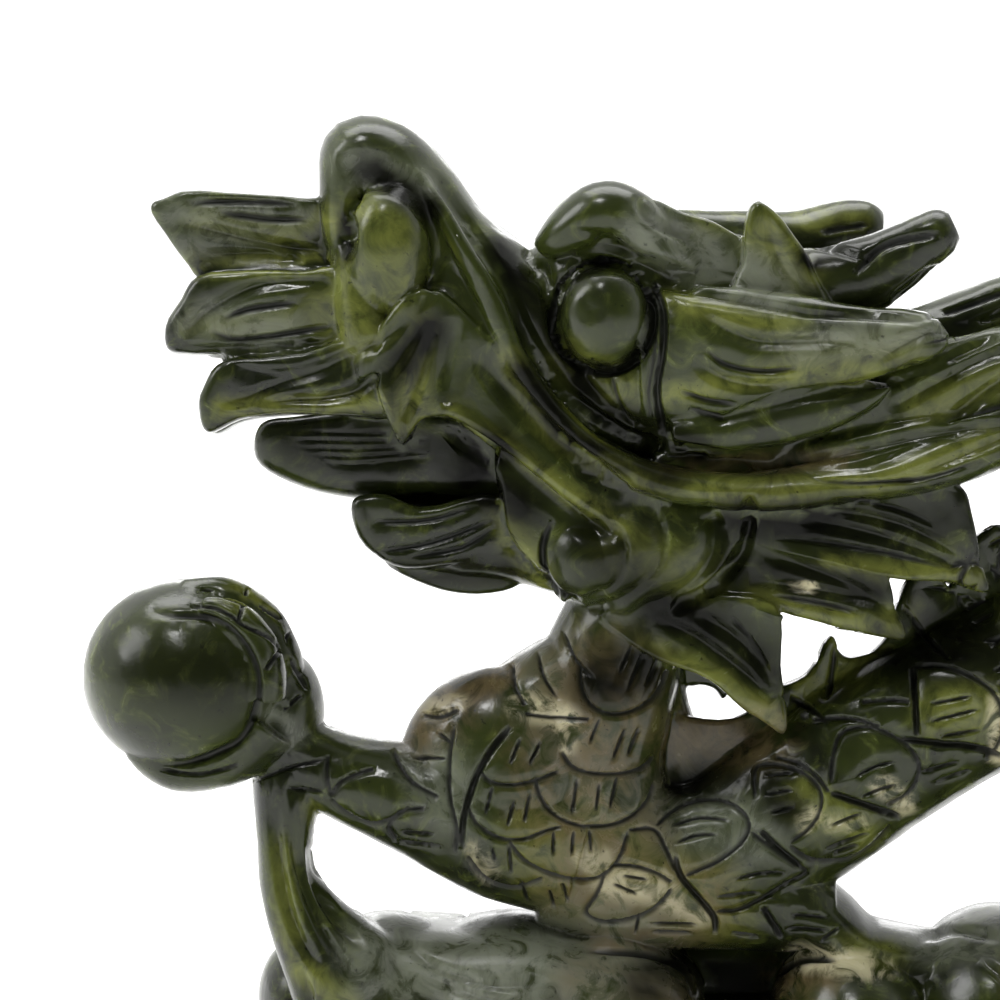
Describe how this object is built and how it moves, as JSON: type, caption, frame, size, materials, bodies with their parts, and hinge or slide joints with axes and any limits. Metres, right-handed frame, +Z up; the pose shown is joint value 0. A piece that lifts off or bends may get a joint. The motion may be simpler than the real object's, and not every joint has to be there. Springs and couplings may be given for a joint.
{
  "type": "jade dragon carving",
  "caption": "Polished jade ornament: a dragon with an open mouth and a flowing mane holds a pearl in its raised claw, over a low rock base.",
  "frame": {"origin": "centre of the bounding box at the height of the flat underside", "axes": "+X from the pearl towards the tail, along the carving's length; -Y towards the side it is carved to be seen from; +Z up"},
  "size_m": [0.28, 0.068, 0.1988],
  "materials": {
    "jade": "dark olive-green jade, polished by hand, with paler translucent edges, tan and cream veins and dull tooled hollows"
  },
  "bodies": {
    "root": {"dragon_carving": "jade"}
  },
  "joints": []
}
